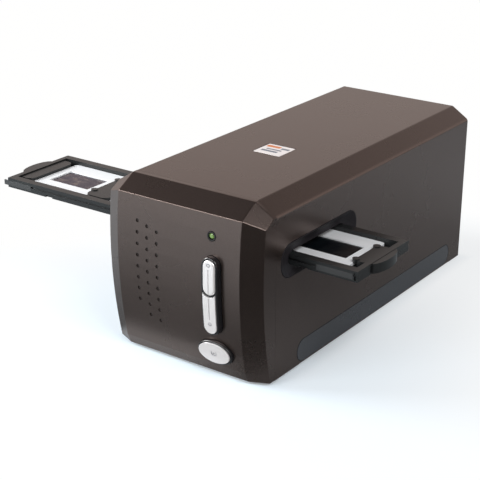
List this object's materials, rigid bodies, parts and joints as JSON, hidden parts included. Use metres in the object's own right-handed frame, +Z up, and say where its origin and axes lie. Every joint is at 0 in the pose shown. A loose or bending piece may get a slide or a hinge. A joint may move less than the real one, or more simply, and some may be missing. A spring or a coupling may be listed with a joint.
{
  "type": "film negative scanner",
  "caption": "Desktop film scanner: long chamfered casing with a bulged front, scan and power keys, and a slide holder that passes through side slots over a motor-driven optical carriage.",
  "frame": {"origin": "on the table under the middle of the casing, below the raised panel under the base", "axes": "+Z up, +X to the right along the film holder, seen from the front; +Y away from the front, along the casing"},
  "size_m": [0.2999, 0.2766, 0.119],
  "materials": {
    "casing": "dark brown with a satin metallic paint",
    "rear_panel": "dark brown, fine texture",
    "base": "slate grey, fine texture",
    "black_plastic": "satin",
    "slot_scoop": "glossy",
    "key_surround": "glossy",
    "key": "silver paint, satin",
    "status_lamp": "clear green",
    "film_holder": "dark grey, satin",
    "slide_mount": "white, matt",
    "film": "dark transparency film",
    "rubber": "matt",
    "steel": "ground",
    "alloy": "die cast",
    "circuit_board": "green lacquer",
    "lamp_board": "white lacquer",
    "diffuser": "opal",
    "glass": "clear",
    "mirror": "front silvered",
    "ribbon": "grey"
  },
  "bodies": {
    "casing": {"top_cover": "casing", "front_bezel": "casing", "rear_panel": "rear_panel", "base_tray": "base", "foot_front_left": "rubber", "foot_front_right": "rubber", "foot_rear_left": "rubber", "foot_rear_right": "rubber", "base_screw_1": "steel", "base_screw_2": "steel", "base_screw_3": "steel", "base_screw_4": "steel", "right_slot_scoop": "slot_scoop", "left_slot_scoop": "slot_scoop", "key_surround": "key_surround", "power_key_ring": "key_surround", "upper_scan_switch": "black_plastic", "lower_scan_switch": "black_plastic", "power_switch": "black_plastic", "front_switch_board": "circuit_board", "status_lamp_lens": "status_lamp", "status_lamp_grommet": "black_plastic", "main_board": "circuit_board", "usb_socket": "steel", "power_jack": "black_plastic", "switch_ribbon_cable": "ribbon", "chassis_deck": "alloy", "front_rod_block": "black_plastic", "rear_rod_block": "black_plastic", "left_guide_rod": "steel", "right_guide_rod": "steel", "film_gate_channel": "black_plastic", "film_gate_lid": "black_plastic", "detent_spring": "steel", "lamp_housing": "alloy", "diffuser": "diffuser", "lamp_board": "lamp_board", "stepper_motor": "alloy", "home_sensor": "black_plastic"},
    "film_holder": {"film_holder": "film_holder", "slide_mount_1": "slide_mount", "slide_mount_2": "slide_mount", "slide_mount_3": "slide_mount", "slide_mount_4": "slide_mount", "film_chip_1": "film", "film_chip_2": "film", "film_chip_3": "film", "film_chip_4": "film"},
    "upper_scan_key": {"upper_scan_key": "key"},
    "lower_scan_key": {"lower_scan_key": "key"},
    "power_key": {"power_key": "key"},
    "carriage": {"carriage_body": "black_plastic", "fold_mirror": "mirror", "lens_barrel": "black_plastic", "lens_glass": "glass", "sensor_board": "circuit_board"},
    "lead_screw": {"lead_screw": "steel", "shaft_coupling": "alloy"}
  },
  "joints": [
    {"name": "holder_slide", "type": "slide", "parent": "casing", "child": "film_holder", "axis": [1, 0, 0], "range_m": [-0.175, 0.255]},
    {"name": "upper_scan_press", "type": "slide", "parent": "casing", "child": "upper_scan_key", "axis": [0, 1, 0], "range_m": [0, 0.0008], "stiffness_N_per_m": 400},
    {"name": "lower_scan_press", "type": "slide", "parent": "casing", "child": "lower_scan_key", "axis": [0, 1, 0], "range_m": [0, 0.0008], "stiffness_N_per_m": 400},
    {"name": "power_press", "type": "slide", "parent": "casing", "child": "power_key", "axis": [0, 1, 0], "range_m": [0, 0.0008], "stiffness_N_per_m": 400},
    {"name": "carriage_slide", "type": "slide", "parent": "casing", "child": "carriage", "axis": [0, 1, 0], "range_m": [-0.013, 0.013]},
    {"name": "lead_screw_spin", "type": "hinge", "parent": "casing", "child": "lead_screw", "pos_m": [0, 0.0881, 0.035], "axis": [0, 1, 0], "range_deg": [-590, 590]}
  ],
  "couplings": [
    {"joint": "lead_screw_spin", "follows": "carriage_slide", "rad_per_m": -785.4}
  ]
}
